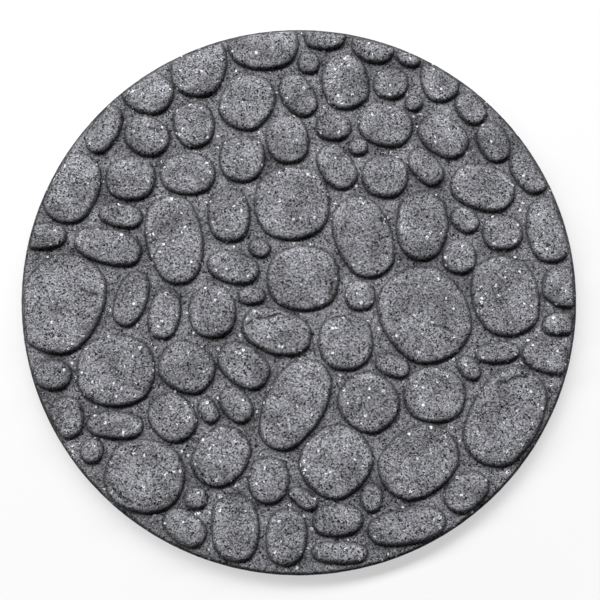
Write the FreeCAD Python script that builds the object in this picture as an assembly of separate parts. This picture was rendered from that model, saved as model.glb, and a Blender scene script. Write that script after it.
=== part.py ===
import FreeCAD, Part
import math
import os

# Garden stepping stone: a round slab of bonded rubber crumb pressed in one piece, with a river-rock
# relief on its upper face.
# Sizes are in millimetres. The slab lies on z = 0 round the z axis, and +Y is the top of the pattern.

# Driving dimensions
DIAMETER = 457.0        # across the widest part of the rim
THICKNESS = 16.0        # from the resting face to the tops of the cobbles
RELIEF = 5.0            # rise of the cobbles above the ground between them
COBBLE_DRAFT = 22.0     # degrees that a cobble's wall leans in
RIM_HEIGHT = 8.5        # top of the upright part of the rim
RIM_LEAN = 30.0         # degrees that the rim leans in above that height
SHOULDER = 0.75         # place of an outline's shoulders, as a share of its half length and half width

# Schedule of cobbles for a slab of PATTERN_DIAMETER. Each row is one cobble's outline at ground level:
# x and y of the middle of its long axis, length, width, direction of its narrow end in degrees, taper
# (the share by which the shoulders are set in at that end and out at the other) and lean (how far its
# sides are set over to the left of that direction). Rows run from the top of the pattern down.
PATTERN_DIAMETER = 457.0
COBBLES = [
    (-85, 194.5, 56.8, 48, 80, 0, 0),
    (-30.5, 213.5, 60.8, 47, 0, 0, 0),
    (22.5, 222.5, 37.2, 29.4, 0, 0, 0),
    (63.7, 212.5, 38.2, 31.4, -20, 0, 0),
    (94.2, 202.8, 23.5, 20.1, -25, 0, 0),
    (8.4, 197, 21.1, 19.6, 90, 0, 0),
    (-128.5, 171, 45.5, 39, -25, 0, 0),
    (-43.4, 162, 51.9, 45.6, 62, 0.03, 0),
    (3.4, 170.2, 40.2, 29.2, -59, 0.03, -4.5),
    (39.5, 180.1, 51, 41.2, 98, 0.05, 0),
    (78, 178.6, 31.4, 29.4, 0, 0, 0),
    (119.2, 182.5, 42.1, 33.8, 100, 0, 0),
    (-164, 138, 45.1, 27.4, 65, 0, 0),
    (-127.5, 132, 40.2, 34.8, -28, 0, 0),
    (-88.3, 141.5, 41.2, 36.3, 282, 0.05, 0),
    (-9.5, 129.5, 44.6, 37.2, 280, 0.04, 0),
    (29, 140, 31.4, 25.5, 0, 0, 0),
    (49.8, 122.3, 17.6, 16.7, 0, 0, 0),
    (73, 142, 48, 39.2, -20, 0, 0),
    (97.4, 161.3, 17.1, 16.2, 0, 0, 0),
    (145.0, 156.5, 31.8, 24.3, -50, 0, 0),
    (121.5, 132, 46.5, 35.3, -40, 0, 0),
    (163.5, 126.6, 37.7, 27.4, 110, 0, 0),
    (-189, 87, 62.7, 47, 75, 0, 0),
    (-140.3, 95.2, 42.6, 39.7, 0, 0, 0),
    (-93, 99, 47, 37.2, 0, 0, 0),
    (-47.5, 112, 42.1, 39.2, 270, 0.05, 0),
    (31.9, 105.4, 43.6, 29.9, -58, 0, 0),
    (72, 97, 40.2, 38.2, 0, 0, 0),
    (106.3, 104.8, 38, 24.5, -52, 0, 0),
    (153.6, 87.3, 55.5, 41, -16, 0, 0),
    (192, 100, 41.2, 27.4, -58, 0, 0),
    (-148, 63.6, 38.2, 22.1, -13, 0, 0),
    (-158, 36.8, 58.8, 30.9, 166, 0.06, 0),
    (-212, 45.5, 41.2, 23.5, 2, 0, 0),
    (-103, 42.5, 77.4, 48, 281, 0.06, 0),
    (-58, 63.5, 48, 36.3, 93, 0, 0),
    (-5.7, 73.8, 64.5, 63.9, 90, 0, 0),
    (55, 45.5, 72.5, 49, 109, 0, 1.5),
    (102.2, 54.2, 60.3, 44.1, 266, 0.07, 0),
    (138.2, 59.2, 26.5, 21.6, -35, 0, 0),
    (168.8, 48, 35.3, 30.9, 0, 0, 0),
    (207, 51.5, 57.8, 38.2, 93, 0, 0),
    (-32.7, 35.3, 20.1, 16.7, -30, 0, 0),
    (-54, 19.3, 45.1, 28.4, -15, 0, 0),
    (132.5, 28.2, 30.4, 28.9, 90, 0, 0),
    (-194.3, -11.6, 85.3, 69.6, 250, 0.03, 0),
    (-137.3, -7, 49, 27.9, 74, 0, 0),
    (-109.7, -19.5, 44.1, 27.4, 80, 0, 0),
    (-71, -18, 45.1, 40.2, 100, 0, 0),
    (-38.7, -4.7, 24.5, 16.2, 0, 0, 0),
    (3.8, 10.2, 60.8, 56.4, 0, 0, 0),
    (50.0, -4.2, 27, 26, 90, 0, 0),
    (102.7, -20, 82.3, 73.5, 120, 0, 0),
    (168.6, -4.7, 69.1, 56.8, 102, 0, -0.75),
    (218, 2.5, 38.2, 35.3, -20, 0, 0),
    (213.5, -28, 31.4, 20.6, 5, 0, 0),
    (-18, -34, 59.8, 38.7, -18, 0, 0),
    (38.2, -43.5, 48, 46, 272, 0.08, 0),
    (75.8, -62.2, 30.5, 20, -22, 0, 0),
    (161.2, -51.5, 37.2, 18.6, 5, 0, 0),
    (202, -55, 43.1, 28.4, -15, 0, 0),
    (138, -64.4, 24, 17.6, -48, 0, 0),
    (-200, -70, 33.3, 26.5, -10, 0, 0),
    (-148.6, -69.5, 65, 60.5, 0, 0, 3.5),
    (-91, -63.8, 47.5, 42.6, -30, 0, 0),
    (-45.2, -62, 47.5, 33.5, -38, 0, 0),
    (-0.7, -95.2, 79.4, 49.5, 242, 0.05, -3),
    (56.3, -92, 50.5, 48.5, -40, 0, 0),
    (109.5, -86, 51.5, 46, 0, 0, 0),
    (169, -105, 86.7, 57.8, 60, 0, 3),
    (-187.5, -104.5, 36.3, 29.4, 95, 0, 0),
    (-148, -110.5, 47, 24, -4, 0, 0),
    (-101.4, -104.3, 43, 37, -50, 0, 0),
    (-73.3, -98.8, 24, 17.1, -60, 0, 0),
    (-50.6, -94.2, 34, 24.5, -50, 0, 0),
    (-165.8, -131, 21.6, 19.6, 80, 0, 0),
    (-123.2, -151, 65.5, 59.5, -10, 0, 0),
    (-62.5, -135.5, 51.9, 44.1, 50, 0, 0),
    (-24.2, -154.5, 38.2, 33.3, 270, 0.04, 0),
    (29.8, -139.5, 59.5, 56.5, 45, 0, 0),
    (97.2, -141.7, 68.5, 54, 36, 0, 2.5),
    (-82, -168.3, 20.1, 19.1, 0, 0, 0),
    (3.5, -168.5, 26.5, 15.7, -32, 0, 0),
    (57.9, -168.3, 25, 19.1, 90, 0, 0),
    (133.3, -163.2, 40.7, 28.4, 36, 0, 0),
    (-90.4, -191.4, 39.2, 26.5, -37, 0, 0),
    (-50.5, -191.5, 53.9, 39.2, 275, 0.03, 0),
    (-10, -198.5, 46.1, 33.8, 86, 0, 0),
    (31, -185.5, 41.2, 26.5, 4, 0, 0),
    (85.5, -189.8, 63.7, 29.9, 11, 0, 0),
    (32, -210.5, 45.1, 18.1, -2, 0, 0),
]

# Worked out from the driving dimensions
GROUND = THICKNESS - RELIEF
PATTERN_SCALE = DIAMETER / PATTERN_DIAMETER


def cobble_ring(row, height):
    """The closed outline of one cobble at a height, smaller than its ground outline by the wall's draft.

    Four arcs run round it. Each passes through two shoulders and the end or side point between them.
    The long axis lies along x with the narrow end at +x, until the outline is turned and moved into place.
    """
    x, y, length, width, direction, taper, lean = row
    draft = (height - GROUND) * math.tan(math.radians(COBBLE_DRAFT))
    end = length * PATTERN_SCALE / 2 - draft
    side = width * PATTERN_SCALE / 2 - draft
    shift = lean * PATTERN_SCALE
    shoulder = SHOULDER * end
    blunt = SHOULDER * side * (1 + taper)
    narrow = SHOULDER * side * (1 - taper)
    points = [
        FreeCAD.Vector(along, across, 0)
        for along, across in [
            (shoulder, shift - narrow),
            (end, 0),
            (shoulder, shift + narrow),
            (0, shift + side),
            (-shoulder, shift + blunt),
            (-end, 0),
            (-shoulder, shift - blunt),
            (0, shift - side),
        ]
    ]
    count = len(points)
    arcs = [Part.Arc(points[k], points[k + 1], points[(k + 2) % count]) for k in range(0, count, 2)]
    ring = Part.Wire([arc.toShape() for arc in arcs])
    ring.Placement = FreeCAD.Placement(
        FreeCAD.Vector(x * PATTERN_SCALE, y * PATTERN_SCALE, height),
        FreeCAD.Rotation(FreeCAD.Vector(0, 0, 1), direction),
    )
    return ring


def cobble(row):
    """One cobble with drafted walls, from the ground to its flat top."""
    return Part.makeLoft([cobble_ring(row, GROUND), cobble_ring(row, THICKNESS)], True, True)


def rim_mould():
    """The round space inside the mould ring: an upright rim that leans in above RIM_HEIGHT."""
    radius = DIAMETER / 2
    lean = (THICKNESS - RIM_HEIGHT) * math.tan(math.radians(RIM_LEAN))
    section = [
        (0, 0),
        (radius, 0),
        (radius, RIM_HEIGHT),
        (radius - lean, THICKNESS),
        (0, THICKNESS),
        (0, 0),
    ]
    face = Part.Face(Part.makePolygon([FreeCAD.Vector(r, 0, z) for r, z in section]))
    return face.revolve(FreeCAD.Vector(0, 0, 0), FreeCAD.Vector(0, 0, 1), 360)


def stepping_stone():
    """The ground layer, made oversize, and all the cobbles as one solid, trimmed by the mould ring."""
    ground = Part.makeCylinder(DIAMETER, GROUND)
    relief = ground.multiFuse([cobble(row) for row in COBBLES])
    return relief.common(rim_mould()).removeSplitter().Solids[0]


stone = stepping_stone()
os.makedirs("parts", exist_ok=True)
stone.exportStep("parts/stepping_stone.step")
print("stepping stone:", len(stone.Faces), "faces,", round(stone.Volume / 1000), "cubic centimetres")
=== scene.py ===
# %% [markdown]
# # A river-rock stepping stone, from drawing to picture
# The object is a round garden slab, pressed in one piece from crumbs of rubber and moulded on top as a bed
# of river rocks. The CAD solid holds every rock's outline in its true place, with flat tops and crisp edges.
# Here the same rocks get worn edges. The outlines are read back from the solid, each point of the plan view
# gets a height from its distance to the nearest outline, and those heights are skinned as one closed mesh.
# Sculpting by hand would be the other way, but one formula softens all the rocks alike and keeps the drawing.

# %% The CAD frame
import math
import bpy
import numpy as np
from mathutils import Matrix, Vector
from mathutils.geometry import delaunay_2d_cdt


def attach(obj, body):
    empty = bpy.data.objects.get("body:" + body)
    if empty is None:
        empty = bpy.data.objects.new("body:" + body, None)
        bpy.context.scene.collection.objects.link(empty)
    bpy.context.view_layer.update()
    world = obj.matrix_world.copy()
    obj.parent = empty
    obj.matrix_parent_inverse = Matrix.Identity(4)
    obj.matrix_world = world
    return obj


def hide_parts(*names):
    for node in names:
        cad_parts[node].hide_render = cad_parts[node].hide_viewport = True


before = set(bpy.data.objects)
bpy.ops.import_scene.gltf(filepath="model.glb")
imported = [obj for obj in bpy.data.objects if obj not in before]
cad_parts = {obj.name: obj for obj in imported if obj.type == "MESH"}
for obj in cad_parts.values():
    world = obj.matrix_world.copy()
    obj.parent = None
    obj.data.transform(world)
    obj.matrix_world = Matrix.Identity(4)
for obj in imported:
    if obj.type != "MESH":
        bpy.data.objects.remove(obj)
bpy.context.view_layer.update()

MM = 0.001
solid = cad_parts["stepping_stone"].data
solid.calc_loop_triangles()
corners = np.empty(len(solid.vertices) * 3, dtype=np.float32)
solid.vertices.foreach_get("co", corners)
corners = corners.reshape(-1, 3).astype(float) / MM
facets = np.empty(len(solid.loop_triangles) * 3, dtype=np.int32)
solid.loop_triangles.foreach_get("vertices", facets)
facets = facets.reshape(-1, 3)
print("CAD solid:", len(facets), "facets, box in mm", np.ptp(corners, axis=0).round(2))

# %% [markdown]
# ## Levels
# A moulded slab has a few levels that everything else hangs on: the resting face, the top of the upright rim,
# the ground between the rocks and the tops of the rocks. They could be typed in, but then they would go wrong
# when the drawing changes, so they are measured on the solid. The slab's lengths are all in millimetres.

# %% Measure the levels
SAME = 0.01             # lengths that differ by less count as equal

reach = np.hypot(corners[:, 0], corners[:, 1])
RIM = reach.max()
TOP = corners[:, 2].max()
levels, uses = np.unique(corners[:, 2].round(2), return_counts=True)
between = (levels > SAME) & (levels < TOP - SAME)
GROUND = levels[between][uses[between].argmax()]
RIM_TOP = corners[reach > RIM - SAME, 2].max()
RIM_EDGE = reach[corners[:, 2] > TOP - SAME].max()
RIM_LEAN = (RIM - RIM_EDGE) / (TOP - RIM_TOP)
print("rim radius", RIM.round(2), "top", TOP.round(2), "ground", GROUND, "upright rim to", RIM_TOP.round(2))

# %% Measure a wall
CLEAR_OF_RIM = 20.0     # the rocks that the rim cuts are left out
EDGE_SAMPLE = 7         # one point of the top edges in seven is enough

at_foot = corners[(np.abs(corners[:, 2] - GROUND) < SAME) & (reach < RIM_EDGE - CLEAR_OF_RIM / 2), :2]
at_edge = corners[(corners[:, 2] > TOP - SAME) & (reach < RIM_EDGE - CLEAR_OF_RIM), :2][::EDGE_SAMPLE]
gaps = at_edge[:, None] - at_foot
WALL_RUN = np.median(np.hypot(gaps[..., 0], gaps[..., 1]).min(axis=1))
print("run of a wall in plan:", WALL_RUN.round(2), "from", len(at_edge), "points")

# %% [markdown]
# ## Outlines
# Every rock's top is one flat face of the solid, so the facets at the top level fall apart into one island
# for each rock. An island's border is the rock's outline. It is respaced evenly, and each point is blended
# with its neighbours, which rounds off the slight corners where the drawing's arcs meet. Then the outline is
# moved out, down the drawn wall, and smooth random numbers make it wander a little, as a hand-cut mould does.

# %% Smooth random numbers
NOISE_REACH = 1.2 * RIM     # the lattice covers the plan this far from the middle


def noise(points, cell, seed):
    """Random values from -1 to 1 on a square lattice, blended between its corners with a smooth step."""
    count = int(2 * NOISE_REACH / cell) + 3
    lattice = np.random.default_rng(seed).uniform(-1, 1, (count, count))
    place = (points + NOISE_REACH) / cell
    corner = np.floor(place).astype(int)
    x, y = (place - corner).T
    x, y = x * x * (3 - 2 * x), y * y * (3 - 2 * y)
    i, j = corner.T
    low = lattice[i, j] * (1 - x) + lattice[i + 1, j] * x
    high = lattice[i, j + 1] * (1 - x) + lattice[i + 1, j + 1] * x
    return low * (1 - y) + high * y


print("noise sample:", noise(np.array([[0.0, 0.0], [3.0, 1.0]]), 5, seed=1).round(3))

# %% Find the islands
def islands(triangles, count):
    """Gives each vertex the lowest vertex number that can be reached from it along the triangles."""
    label = np.arange(count)
    while True:
        lowest = label.copy()
        for side in triangles.T:
            np.minimum.at(lowest, side, label[triangles].min(axis=1))
        lowest = lowest[lowest]
        if (lowest == label).all():
            return label
        label = lowest


top_facets = facets[(corners[facets, 2] > TOP - SAME).all(axis=1)]
island = islands(top_facets, len(corners))
sides = np.sort(top_facets[:, [0, 1, 1, 2, 2, 0]].reshape(-1, 2), axis=1)
sides, uses = np.unique(sides, axis=0, return_counts=True)
border = np.unique(sides[uses == 1])
print("rocks:", len(np.unique(island[border])))

# %% Helpers for lines
def walked(line):
    """Distance along a line of points, at each of its points."""
    return np.append(0, np.cumsum(np.hypot(*np.diff(line, axis=0).T)))


def points_at(place, line):
    """Points at these distances along a line."""
    along = walked(line)
    return np.stack([np.interp(place, along, line[:, axis]) for axis in (0, 1)], axis=1)


def inward_of(loop):
    """The direction to the left of an anticlockwise outline at each of its points, which is inwards."""
    along = np.roll(loop, -1, axis=0) - np.roll(loop, 1, axis=0)
    return np.stack([-along[:, 1], along[:, 0]], axis=1) / np.linalg.norm(along, axis=1)[:, None]


print("walk round a unit square:", walked(np.array([[0, 0], [1, 0], [1, 1], [0, 1], [0, 0]])))

# %% Respace and round the outlines
RING_STEP = 2.4                     # between mesh points along an outline, which has twice as many
ROUNDING = np.array([1, 4, 6, 4, 1]) / 16   # weights of a point and its neighbours
WALL_OUT = 0.65                     # share of the drawn wall's run at which the new wall stands
WANDER, WANDER_CELL = 0.5, 14       # long waves in the outline: how far, and how long
RAGGED_EDGE, RAGGED_CELL = 0.25, 4  # short ones


def outline(points):
    """One closed outline with an even number of points, evenly spaced, anticlockwise.

    The points are sorted by their direction from the middle, joined up and measured along. Places at equal
    distances along that line are then read off, and each is replaced by a weighted mean of its neighbours.
    """
    spoke = points - points.mean(axis=0)
    loop = points[np.argsort(np.arctan2(spoke[:, 1], spoke[:, 0]))]
    loop = np.vstack([loop, loop[:1]])
    length = walked(loop)[-1]
    count = 2 * round(length / RING_STEP)
    loop = points_at(np.linspace(0, length, count, endpoint=False), loop)
    loop = sum(w * np.roll(loop, k, axis=0) for k, w in enumerate(ROUNDING, -(len(ROUNDING) // 2)))
    out = WALL_OUT * WALL_RUN + WANDER * noise(loop, WANDER_CELL, seed=1)
    out += RAGGED_EDGE * noise(loop, RAGGED_CELL, seed=6)
    return loop - out[:, None] * inward_of(loop)


outlines = [outline(corners[border[island[border] == rock], :2]) for rock in np.unique(island[border])]
print("outline points:", sum(map(len, outlines)))

# %% [markdown]
# ## Depth inside a rock
# One number says where a point of the plan view is: its distance to the nearest outline, positive inside the
# rock and negative in the groove. This signed distance is what the rounded edge is drawn with. It is worked
# out for all points against all sides of an outline at once, and only for points near that outline.

# %% Signed distance
NEAR = 8.0              # points further than this from a rock's box are not measured against it


def gaps_to(points, start, run):
    """Distance from each point to each straight stretch, which goes from its start by its run.

    The nearest place on a stretch is at the point's shadow on it, or at an end where the shadow misses it.
    """
    away = points[:, None] - start
    share = np.clip((away * run).sum(axis=2) / (run**2).sum(axis=1), 0, 1)
    return np.linalg.norm(away - share[..., None] * run, axis=2)


def depth_inside(points, loop):
    """Distance from each point to the nearest side of a closed outline, positive inside it.

    A point is inside where a line from it towards +x crosses the outline an odd number of times.
    """
    run = np.roll(loop, -1, axis=0) - loop
    gap = gaps_to(points, loop, run).min(axis=1)
    below, above = loop[:, 1], (loop + run)[:, 1]
    level = points[:, 1:]
    spans = (below > level) != (above > level)
    slope = run[:, 0] / np.where(run[:, 1] == 0, 1, run[:, 1])
    crossings = (spans & (points[:, :1] < loop[:, 0] + (level - below) * slope)).sum(axis=1)
    return np.where(crossings % 2 == 1, gap, -gap)


def rock_depth(points):
    """Depth inside the nearest rock for each point, down to -NEAR in the widest grooves."""
    depth = np.full(len(points), -NEAR)
    for loop in outlines:
        near = ((points > loop.min(axis=0) - NEAR) & (points < loop.max(axis=0) + NEAR)).all(axis=1)
        depth[near] = np.maximum(depth[near], depth_inside(points[near], loop))
    return depth


print("depth at the middle:", rock_depth(np.zeros((1, 2))).round(2))

# %% [markdown]
# ## Nicks and creases
# A few tops have a shallow nick or crease, as from a dent in the mould or a tear as the slab came out of it.
# They could be painted on, but paint catches no light. Here each is a short line in plan, and the top sinks
# along it as a bell curve. Rows of mesh points follow the line, so that the mesh can show it. Along the line
# the tone is also painted darker, as shade in the crease.

# %% Nicks
NICKS = [               # points along each nick
    [(-41, -28), (-34, -24), (-27, -24), (-15, -20)],
    [(160, -77), (168, -76), (175, -72), (184, -72)],
    [(-150, -157), (-143, -166), (-132, -172)],
    [(27, -24), (36, -22), (42, -26)],
    [(-178, 0), (-172, -3), (-165, -4)],
    [(109, -30), (117, -31), (124, -35)],
    [(28, 6), (25, -4)],
    [(68, 60), (71, 55)],
    [(-126, 138), (-118, 136)],
]
NICK_DEPTH, NICK_WIDTH = 1.0, 1.1
NICK_STEP, NICK_ROWS = 0.9, 2       # between mesh points, and rows of them on each side of the middle one


def nick_depth(points):
    """How deep the nicks are at each point: a bell curve of the distance to the nearest stretch of a nick."""
    ends = np.array([pair for line in NICKS for pair in zip(line, line[1:])], dtype=float)
    gap = gaps_to(points, ends[:, 0], ends[:, 1] - ends[:, 0])
    return NICK_DEPTH * np.exp(-(gap / NICK_WIDTH)**2).max(axis=1)


def nick_points(line):
    """Rows of points along a nick, in the middle and on both sides of it, that run on past its ends."""
    line = np.array(line, dtype=float)
    length = walked(line)[-1]
    margin = NICK_ROWS * NICK_STEP
    place = np.arange(-margin, length + margin, NICK_STEP)
    ahead = (line[-1] - line[0]) / length
    beyond = (place - np.clip(place, 0, length))[:, None] * ahead
    aside = np.array([-ahead[1], ahead[0]]) * NICK_STEP
    rows = range(-NICK_ROWS, NICK_ROWS + 1)
    return np.concatenate([points_at(place, line) + beyond + k * aside for k in rows])


print("nicks:", len(NICKS), "depth on the first:", nick_depth(np.array([[-27.0, -24.0]])).round(2))

# %% [markdown]
# ## Heights
# A real mould is worn and its rubber springs back, so nothing on the slab is quite flat or sharp. Across a
# rock's edge the height follows an S: a small hollow at the foot, a steep wall and a rolled shoulder. Further
# in, the top still rises a little to a crown. Smooth random numbers add lumps to the tops and the ground.
# The rim is a second height, a cone that falls outwards, and the lower of the two wins, with a soft blend.
# A Bevel modifier would round the edges too, but not in this S, and it would leave the tops flat.

# %% Across a rock's edge
SHOULDER_RUN, SHOULDER_DROP = 4.4, 0.72     # rolled shoulder: its width, and its share of the relief
STEEP_RUN, STEEP_DROP = 0.4, 0.20           # steep part of the wall
FOOT_RUN, FOOT_DROP = 1.8, 0.08             # hollow at the foot


def edge_rise(depth):
    """Share of the relief that is reached at a depth inside the outline, from 0 to 1.

    From the inside out it falls along a quarter of an ellipse, then a straight line, then a quarter of an
    ellipse that is hollow.
    """
    shoulder = np.clip(1 - depth / SHOULDER_RUN, 0, 1)
    steep = np.clip(-depth / STEEP_RUN, 0, 1)
    foot = np.clip((-depth - STEEP_RUN) / FOOT_RUN, 0, 1)
    fall = SHOULDER_DROP * (1 - np.sqrt(1 - shoulder**2)) + STEEP_DROP * steep
    return 1 - fall - FOOT_DROP * np.sqrt(1 - (1 - foot)**2)


print("rise at -1, 0 and 1 mm:", edge_rise(np.array([-1.0, 0.0, 1.0])).round(2))

# %% The height of the upper face
CROWN, CROWN_RUN = 0.6, 6.0         # how much lower a top is at its edge, and the run over which that fades
LUMP = 0.35                         # how far the tops swell and sink
LONG_LUMP, LONG_CELL = 0.6, 9       # share of that in long waves, and their length
SHORT_LUMP, SHORT_CELL = 0.4, 4.5   # the same for short waves
HOLLOW, HOLLOW_CELL = 0.3, 7        # how far the ground swells and sinks, and the length of its waves
RIM_SOFTNESS = 2.5                  # relief and rim are blended where their heights are closer than this
NICK_PAINTED_SHADE = 0.42                    # share of its rise, and so of its tone, that a nick takes per millimetre: painted shade in the crease


def soft_lower(first, second, softness):
    """The lower of two heights, with a parabola between them where they differ by less than the softness."""
    blend = np.clip(0.5 + 0.5 * (first - second) / softness, 0, 1)
    return first + (second - first) * blend - softness * blend * (1 - blend)


def upper_face(points):
    """Height of the upper face, and the share of the relief that is reached there.

    The height goes from the lumpy ground to the crowned and lumpy top by that share, less the nicks, and is
    no higher than the cone of the rim. The share given back is lowered along the nicks, as painted shade in
    them.
    """
    depth = rock_depth(points)
    rise = edge_rise(depth)
    lumps = 1 + LONG_LUMP * noise(points, LONG_CELL, seed=2) + SHORT_LUMP * noise(points, SHORT_CELL, seed=7)
    rock = TOP - CROWN * np.exp(-np.maximum(depth, 0) / CROWN_RUN) - LUMP * lumps
    ground = GROUND + HOLLOW * noise(points, HOLLOW_CELL, seed=3)
    nick = nick_depth(points)
    rim = RIM_TOP + (RIM - np.hypot(*points.T)) / RIM_LEAN
    height = soft_lower(rim, ground + (rock - ground) * rise - nick, RIM_SOFTNESS)
    # The second value, the share that sets the tone, is lowered along the nicks: painted shade in the creases.
    return height, rise * (1 - NICK_PAINTED_SHADE * nick)


print("height at the middle:", upper_face(np.zeros((1, 2)))[0].round(2))

# %% [markdown]
# ## Mesh points
# An even grid fine enough for the steep walls would waste points on the flat tops. So the points are laid out
# to suit the shape: rings that follow each outline, close together where the wall is steep, a coarse
# honeycomb on the tops and the ground, and circles along the rim. A constrained triangulation then joins
# them, with the rings and circles as lines that it has to keep, so no wall is cut across.

# %% Rings round the rocks
RING_DEPTHS = [-2.2, -1.2, -0.65, -0.4, -0.2, 0, 0.08, 0.28, 0.65, 1.3, 2.4, 4.0]
OFF_RING = 0.15         # a point whose depth is off by more than this is on another rock's side of the groove
RIM_CLEARANCE = 0.4     # the rings stop this far from the rim


def ring(loop, depth):
    """Every second point of an outline, moved inwards along the outline's own normal."""
    return (loop + depth * inward_of(loop))[::2]


def kept_lines(keep, start):
    """Numbers of neighbouring points, round a closed ring, that are both kept."""
    number = start + np.cumsum(keep) - 1
    both = keep & np.roll(keep, -1)
    return np.stack([number, np.roll(number, -1)], axis=1)[both]


plan, lines, total = [], [], 0
for loop in outlines:
    for depth in RING_DEPTHS:
        points = ring(loop, depth)
        own = np.abs(rock_depth(points) - depth) < OFF_RING
        keep = own & (np.hypot(*points.T) < RIM - RIM_CLEARANCE)
        plan.append(points[keep])
        lines.append(kept_lines(keep, total))
        total += keep.sum()
print("ring points:", total)

# %% Circles along the rim
RIM_OFFSETS = [0, 0.45, 1.1, 2.0, 3.2, 4.8]
RIM_STEP = 1.5          # between points along a circle

rim_count = round(2 * math.pi * RIM / RIM_STEP)
turn = np.arange(rim_count) * 2 * math.pi / rim_count
for offset in RIM_OFFSETS:
    plan.append((RIM - offset) * np.stack([np.cos(turn), np.sin(turn)], axis=1))
    number = total + np.arange(rim_count)
    lines.append(np.stack([number, np.roll(number, -1)], axis=1))
    total += rim_count
print("rim points:", rim_count * len(RIM_OFFSETS))

# %% Honeycomb and nicks
HONEYCOMB = 2.6         # between its points

side = np.arange(-RIM, RIM, HONEYCOMB)
rows = np.arange(-RIM, RIM, HONEYCOMB * math.sqrt(3) / 2)
x, y = np.meshgrid(side, rows)
x[1::2] += HONEYCOMB / 2
cells = np.stack([x.ravel(), y.ravel()], axis=1)
cells = cells[np.hypot(*cells.T) < RIM - RIM_OFFSETS[-1] - HONEYCOMB / 2]
depth = rock_depth(cells)
clear = (depth > RING_DEPTHS[-1] + HONEYCOMB / 2) | (depth < RING_DEPTHS[0] - HONEYCOMB / 2)
plan.append(cells[clear])
plan.extend(nick_points(line) for line in NICKS)
print("honeycomb points:", clear.sum())

# %% [markdown]
# ## The skin
# The triangles of the upper face are found in plan and then lifted to their heights. The rim is finished
# below them as a band of rings that drops to the floor and tucks under at the foot, and one flat face closes
# the underside, so the mesh is watertight like the slab. The rim's points wander inwards a little, because
# the pressed crumb never fills the edge of its mould evenly.

# %% Triangulate and lift
MERGE = 0.08            # points closer than this become one

plan, lines = np.concatenate(plan), np.concatenate(lines)
flat, _, triangles, *_ = delaunay_2d_cdt(plan.tolist(), lines.tolist(), [], 0, MERGE, False)
flat, triangles = np.array(flat), np.array(triangles)
a, b, c = flat[triangles].transpose(1, 0, 2)
turned = (b - a)[:, 0] * (c - a)[:, 1] < (b - a)[:, 1] * (c - a)[:, 0]
triangles[turned] = triangles[turned][:, ::-1]
height, rise = upper_face(flat)
print("upper face:", len(flat), "points,", len(triangles), "triangles, turned over:", turned.sum())

# %% Close the rim and the underside
SKIRT = [(0, 0.72), (0, 0.42), (0, 0.14), (0.25, 0.04), (0.9, 0)]    # inset, share of the rim's height

far = np.hypot(*flat.T)
rim_ring = np.flatnonzero(far > RIM - SAME)
rim_ring = rim_ring[np.argsort(np.arctan2(flat[rim_ring, 1], flat[rim_ring, 0]))]
count = len(rim_ring)
bands = [np.c_[flat[rim_ring] * (1 - inset / RIM), np.full(count, share * RIM_TOP)] for inset, share in SKIRT]
skin = np.concatenate([np.c_[flat, height]] + bands)
ring_numbers = [rim_ring] + [len(flat) + k * count + np.arange(count) for k in range(len(SKIRT))]
walls = np.concatenate([
    np.stack([upper, lower, np.roll(lower, -1), np.roll(upper, -1)], axis=1)
    for upper, lower in zip(ring_numbers, ring_numbers[1:])
])
underside = ring_numbers[-1][::-1]
print("rim:", len(walls), "faces in", len(SKIRT), "bands")

# %% Let the rim wander
RIM_WANDER = 0.3                    # the rim is set in by up to this much
WANDER_BAND = 5.0                   # width over which that fades out
SHORT_WANDER, SHORT_WANDER_CELL = 0.3, 2.4      # share of it in short waves, and their length
LONG_WANDER, LONG_WANDER_CELL = 0.2, 11         # the same for long waves

near_rim = np.clip((np.hypot(skin[:, 0], skin[:, 1]) - RIM) / WANDER_BAND + 1, 0, 1)
waves = 0.5 + SHORT_WANDER * noise(skin[:, :2], SHORT_WANDER_CELL, seed=4)
waves += LONG_WANDER * noise(skin[:, :2], LONG_WANDER_CELL, seed=5)
skin[:, :2] *= (1 - near_rim * (RIM_WANDER * waves) / RIM)[:, None]
print("skin:", len(skin), "points, highest", skin[:, 2].max().round(2))

# %% Make the piece
RIM_PAINTED_SHADE, RIM_SHADE_BAND = 0.88, 2.2      # the rise whose tone, as painted shade, the rim's edge is given, and the width over which it fades

mesh = bpy.data.meshes.new("stepping_stone_skin")
mesh.from_pydata((skin * MM).tolist(), [], triangles.tolist() + walls.tolist() + [underside.tolist()])
smooth = np.ones(len(mesh.polygons), dtype=bool)
smooth[-1] = False
mesh.polygons.foreach_set("use_smooth", smooth)
# The attribute holds the share of the relief, lowered along the nicks and at the rim's edge, which the
# material turns into painted shade.
level = mesh.attributes.new("rise", "FLOAT", "POINT")
rise_and_painted_shade = np.append(rise, np.ones(len(skin) - len(rise)))
# The outer edge of the rim is toned as if low on a rock's edge: painted shade along the rim.
rise_and_painted_shade += (RIM_PAINTED_SHADE - rise_and_painted_shade) * np.clip(1 - (RIM - np.hypot(skin[:, 0], skin[:, 1])) / RIM_SHADE_BAND, 0, 1)
level.data.foreach_set("value", rise_and_painted_shade.astype(np.float32))
stone = bpy.data.objects.new("stepping_stone_skin", mesh)
bpy.context.scene.collection.objects.link(stone)
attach(stone, "root")
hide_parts("stepping_stone")
print("piece:", len(triangles) + 2 * len(walls) + count - 2, "triangles")

# %% [markdown]
# ## Bonded crumb
# Up close the slab is thousands of rubber crumbs, each about as big as a grain of coarse sand, glued with a
# clear binder. Most are mid grey, some are darker, a few are nearly white and there are small open pits.
# A Voronoi texture is made of such cells, and its random colour gives each crumb its own grey. A second,
# coarser set of cells is used for the rare pale flecks, and a third for the pits, which are painted darker as
# the shade in them, since the mesh has no hollow there. All of it is laid out in Object coordinates, so it is
# part of the slab and doesn't slide when the camera moves.

# %% Shader helpers
rubber = bpy.data.materials.new("crumb_rubber")
rubber.use_nodes = True
tree = rubber.node_tree
shader = tree.nodes["Principled BSDF"]


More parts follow.
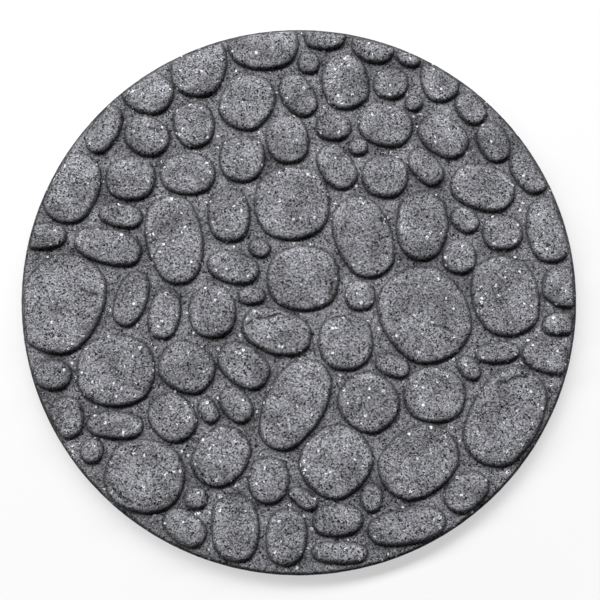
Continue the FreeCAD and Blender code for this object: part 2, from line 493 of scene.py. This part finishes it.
def add(kind, settings=None, **sockets):
    """Adds a shader node to the tree in hand.

    A socket is given by its name, or by its number after an i, and is set to a number or colour or linked
    from another node's output.
    """
    made = tree.nodes.new("ShaderNode" + kind)
    for name, value in (settings or {}).items():
        setattr(made, name, value)
    for name, value in sockets.items():
        socket = made.inputs[int(name[1:])] if name[0] == "i" and name[1:].isdigit() else made.inputs[name]
        if isinstance(value, bpy.types.NodeSocket):
            tree.links.new(value, socket)
        else:
            socket.default_value = value
    return made


def math_node(operation, first, second):
    """One Math node, which gives a single number."""
    return add("Math", {"operation": operation}, i0=first, i1=second).outputs[0]


def map_range(number, source, target):
    """Stretches one range of numbers to another, and stops at its ends."""
    return add("MapRange", i0=number, i1=source[0], i2=source[1], i3=target[0], i4=target[1]).outputs[0]


def grey_ramp(number, stops):
    """A ramp of greys: each stop is a place from 0 to 1 and the linear grey there."""
    ramp = add("ValToRGB", i0=number)
    points = ramp.color_ramp.elements
    while len(points) < len(stops):
        points.new(0.5)
    for point, (where, grey) in zip(points, stops):
        point.position = where
        point.color = (grey, grey, grey, 1)
    return ramp.outputs[0]


place = add("TexCoord").outputs["Object"]
print("shader:", rubber.name)

# %% Crumbs, flecks and pits
CRUMB_SIZE, FLECK_SIZE, PIT_SIZE = 0.92, 2.9, 2.2
PATTERN_SHIFT = (0.137, 0.211, 0.053)       # metres from one set of cells to the next, so that none line up
FLECK_ABOVE, FLECK_RADIUS = 0.957, 0.46     # cells numbered above this have a fleck, of this radius in cells
PIT_ABOVE, PIT_RADIUS = 0.952, 0.45         # the same for pits
DARK_BELOW = 0.4                            # crumbs numbered below this stay dark inside a fleck
CRUMB_GREYS = [(0, 0.012), (0.12, 0.05), (0.26, 0.135), (0.5, 0.232), (0.8, 0.352), (0.96, 0.455), (1, 0.66)]


def cells_of(size, seed):
    """Voronoi cells of about this size: a random number for each, and the distance from its middle."""
    moved = add("Mapping", Vector=place, Location=[seed * part for part in PATTERN_SHIFT]).outputs[0]
    texture = add("TexVoronoi", {"feature": "F1"}, Vector=moved, Scale=1 / (size * MM))
    number = add("SeparateColor", i0=texture.outputs["Color"]).outputs[0]
    return number, texture.outputs["Distance"]


def spots(size, seed, above, radius):
    """1 near the middles of the few cells whose random number is above a limit, and 0 elsewhere."""
    number, distance = cells_of(size, seed)
    few = math_node("GREATER_THAN", number, above)
    return math_node("MULTIPLY", few, math_node("LESS_THAN", distance, radius))


crumb, crumb_distance = cells_of(CRUMB_SIZE, seed=1)
tone = grey_ramp(crumb, CRUMB_GREYS)
is_fleck = spots(FLECK_SIZE, 2, FLECK_ABOVE, FLECK_RADIUS)
is_fleck = math_node("MULTIPLY", is_fleck, math_node("GREATER_THAN", crumb, DARK_BELOW))
is_pit = spots(PIT_SIZE, 3, PIT_ABOVE, PIT_RADIUS)
print("crumbs, flecks and pits:", len(tree.nodes), "nodes")

# %% [markdown]
# ## Tone of rock and ground, and painted shade
# The ground between the rocks is a little darker than their tops. The walls are painted nearly black, and
# the foot below them and the shoulders above them darker. This is painted shade: it stands in for the shadows
# among the crumb and in the corner at the foot, which the smooth mesh can't cast. This could be left to the
# lamp alone, but then walls that face it would look as pale as the tops. The mesh carries how far up a rock's
# edge each point is, as an attribute, and a ramp turns that into a tone with this painted shade. A slow noise
# lets one patch of crumb differ from the next.

# %% Rock, wall and ground
# Painted shade by rise: nearly black on the walls, darker at their foot and on the shoulders, full at the
# tops.
RISE_TO_PAINTED_SHADE = [
    (0, 0.8), (0.02, 0.62), (0.05, 0.4), (0.09, 0.27), (0.3, 0.27), (0.5, 0.31),
    (0.62, 0.37), (0.74, 0.46), (0.88, 0.7), (0.95, 0.9), (1, 1),
]
PATCH_SIZE, PATCH_DETAIL = 22, 2.0
PATCH_NOISE, PATCH_TONE = (0.3, 0.7), (0.63, 1.37)      # this range of the noise becomes this range of tones
PIT_PAINTED_SHADE, FLECK_ADDS = 0.88, 0.62
TINT = (0.98, 0.985, 1.06)          # the grey is slightly blue
ROUGHNESS, SPECULAR = 0.9, 0.06     # rubber crumb is matt

rise_here = add("Attribute", {"attribute_name": "rise"}).outputs["Fac"]
patch = add("TexNoise", Vector=place, Scale=1 / (PATCH_SIZE * MM), Detail=PATCH_DETAIL).outputs[0]
# shade is the painted shade from the ramp, times the random patch tone.
shade = math_node("MULTIPLY", grey_ramp(rise_here, RISE_TO_PAINTED_SHADE), map_range(patch, PATCH_NOISE, PATCH_TONE))
grey = math_node("MULTIPLY", tone, shade)
# Painted shade: the pits are darkened, as the shade in holes that the mesh doesn't have.
grey = math_node("MULTIPLY", grey, math_node("SUBTRACT", 1.0, math_node("MULTIPLY", is_pit, PIT_PAINTED_SHADE)))
grey = math_node("ADD", grey, math_node("MULTIPLY", is_fleck, FLECK_ADDS))
red, green, blue = (math_node("MULTIPLY", grey, share) for share in TINT)
tint = add("CombineColor", Red=red, Green=green, Blue=blue).outputs[0]
tree.links.new(tint, shader.inputs["Base Color"])
shader.inputs["Roughness"].default_value = ROUGHNESS
shader.inputs["Specular IOR Level"].default_value = SPECULAR
print("tones linked:", len(tree.nodes), "nodes")

# %% [markdown]
# ## Crumb relief
# Each crumb stands a fraction of a millimetre proud of the binder. As geometry that would take millions of
# triangles, so a Bump node tilts the shading instead, by the distance from the middle of each crumb.

# %% Bump the crumbs
BUMP_DEPTH, BUMP_STRENGTH = 0.35, 0.6

bump = add("Bump", {"invert": True}, Strength=BUMP_STRENGTH, Distance=BUMP_DEPTH * MM, Height=crumb_distance)
tree.links.new(bump.outputs[0], shader.inputs["Normal"])
mesh.materials.append(rubber)
print("material:", len(tree.nodes), "nodes")

# %% [markdown]
# ## Floor
# A product picture is taken on a sheet of white paper that seems to have no end. More light would whiten the
# paper, but it would bleach the slab too. Instead the paper asks which kind of ray is looking, and shows white
# to the camera. Near the slab it does so only in part, because the slab's shadow has to stay, and further out
# it goes over to plain white. From here on lengths are in metres.

# %% White paper
FLOOR_HALF = 6.0
PAPER_WHITE = 0.97
SHADOW_LIFT = 0.55              # share of plain white in what the camera sees near the slab
SHADOW_REACH = (0.26, 0.7)      # from the first distance to the second, that share goes up to all of it


def background_ray():
    """1 for rays that should find a white background: those of the camera, of gloss and of glass."""
    path = add("LightPath").outputs
    seen = math_node("MAXIMUM", path["Is Camera Ray"], path["Is Glossy Ray"])
    return math_node("MAXIMUM", seen, path["Is Transmission Ray"])


floor_mesh = bpy.data.meshes.new("floor")
square = [(-1, -1), (1, -1), (1, 1), (-1, 1)]
floor_mesh.from_pydata([(FLOOR_HALF * x, FLOOR_HALF * y, 0) for x, y in square], [], [(0, 1, 2, 3)])
floor = bpy.data.objects.new("floor", floor_mesh)
bpy.context.scene.collection.objects.link(floor)
paper = bpy.data.materials.new("floor_paper")
paper.use_nodes = True
tree = paper.node_tree
matt = tree.nodes["Principled BSDF"]
matt.inputs["Base Color"].default_value = (PAPER_WHITE, PAPER_WHITE, PAPER_WHITE, 1)
matt.inputs["Roughness"].default_value = 1.0
matt.inputs["Specular IOR Level"].default_value = 0.0
glow = add("Emission", Color=(1, 1, 1, 1), Strength=1.0)
away = add("VectorMath", {"operation": "LENGTH"}, i0=add("TexCoord").outputs["Object"]).outputs["Value"]
lifted = math_node("MULTIPLY", background_ray(), map_range(away, SHADOW_REACH, (SHADOW_LIFT, 1.0)))
paper_mix = add("MixShader", i0=lifted, i1=matt.outputs[0], i2=glow.outputs[0])
tree.links.new(paper_mix.outputs[0], tree.nodes["Material Output"].inputs["Surface"])
floor_mesh.materials.append(paper)
print("floor:", 2 * FLOOR_HALF, "m square")

# %% [markdown]
# ## Light
# One wide strip lamp stands behind the far edge of the slab, turned a little to the left, so the walls that
# face the camera are in shade and draw the rocks. A small lamp would cut hard shadows, and a dome would give
# none. The world around adds a weak, even light.

# %% Lamp
KEY_DISTANCE, KEY_WIDTH, KEY_DEPTH = 4.0, 14.0, 1.2
KEY_HEIGHT_ANGLE, KEY_TURN = math.radians(42.5), math.radians(18)
KEY_SHARE = 0.97        # of the light on a level surface that comes from the lamp
LEVEL = 1.01            # a level white surface renders at about this value
LAMP_SAMPLES = 100      # places along half the lamp at which its light is worked out

# A lamp of 1 W at distance d renders a level white surface at sin(height angle) / (pi d)^2. Light from the
# ends of the wide lamp comes from further away and at a slant, so it counts for less.
across = np.linspace(0, KEY_WIDTH / 2 / KEY_DISTANCE, LAMP_SAMPLES)
yield_of_lamp = np.mean((1 + across**2)**-2)
level_per_watt = math.sin(KEY_HEIGHT_ANGLE) * yield_of_lamp / (math.pi * KEY_DISTANCE)**2
lamp = bpy.data.lights.new("key", "AREA")
lamp.shape = "RECTANGLE"
lamp.size, lamp.size_y = KEY_WIDTH, KEY_DEPTH
lamp.energy = LEVEL * KEY_SHARE / level_per_watt
key = bpy.data.objects.new("key", lamp)
key.location = KEY_DISTANCE * Vector((
    -math.cos(KEY_HEIGHT_ANGLE) * math.sin(KEY_TURN),
    math.cos(KEY_HEIGHT_ANGLE) * math.cos(KEY_TURN),
    math.sin(KEY_HEIGHT_ANGLE),
))
key.rotation_euler = (-key.location).to_track_quat("-Z", "Y").to_euler()
bpy.context.scene.collection.objects.link(key)
print("lamp power in W:", round(lamp.energy, 1))

# %% World
world = bpy.data.worlds.new("studio")
bpy.context.scene.world = world
world.use_nodes = True
tree = world.node_tree
even = tree.nodes["Background"]
even.inputs["Color"].default_value = (1, 1, 1, 1)
even.inputs["Strength"].default_value = LEVEL * (1 - KEY_SHARE)
white = add("Background", Color=(1, 1, 1, 1), Strength=1.0)
both = add("MixShader", i0=background_ray(), i1=even.outputs[0], i2=white.outputs[0])
tree.links.new(both.outputs[0], tree.nodes["World Output"].inputs["Surface"])
print("even light:", round(LEVEL * (1 - KEY_SHARE), 3))

# %% [markdown]
# ## Camera
# The picture is taken from almost straight above. The tilt follows from the slab's shape in it, since a
# circle seen at an angle is an ellipse. Aiming beside the middle would tilt the view too, so the frame is set
# by the lens's shift, which slides the picture without turning the camera.

# %% Look down at the slab
CAMERA_TILT = math.radians(10.75)
CAMERA_DISTANCE = 1.0
AIM = Vector((0, 0, 0.01))
SENSOR, LENS = 36, 72.9         # in millimetres, as on a real camera
SHIFT = (0.0019, -0.0154)       # as shares of the picture's width

view = bpy.data.cameras.new("camera")
view.sensor_width = SENSOR
view.lens = LENS
view.shift_x, view.shift_y = SHIFT
camera = bpy.data.objects.new("camera", view)
camera.location = AIM + CAMERA_DISTANCE * Vector((0, -math.sin(CAMERA_TILT), math.cos(CAMERA_TILT)))
camera.rotation_euler = (CAMERA_TILT, 0, 0)
bpy.context.scene.collection.objects.link(camera)
bpy.context.scene.camera = camera
bpy.context.scene.view_settings.view_transform = "Standard"
print("camera at", tuple(round(v, 3) for v in camera.location))
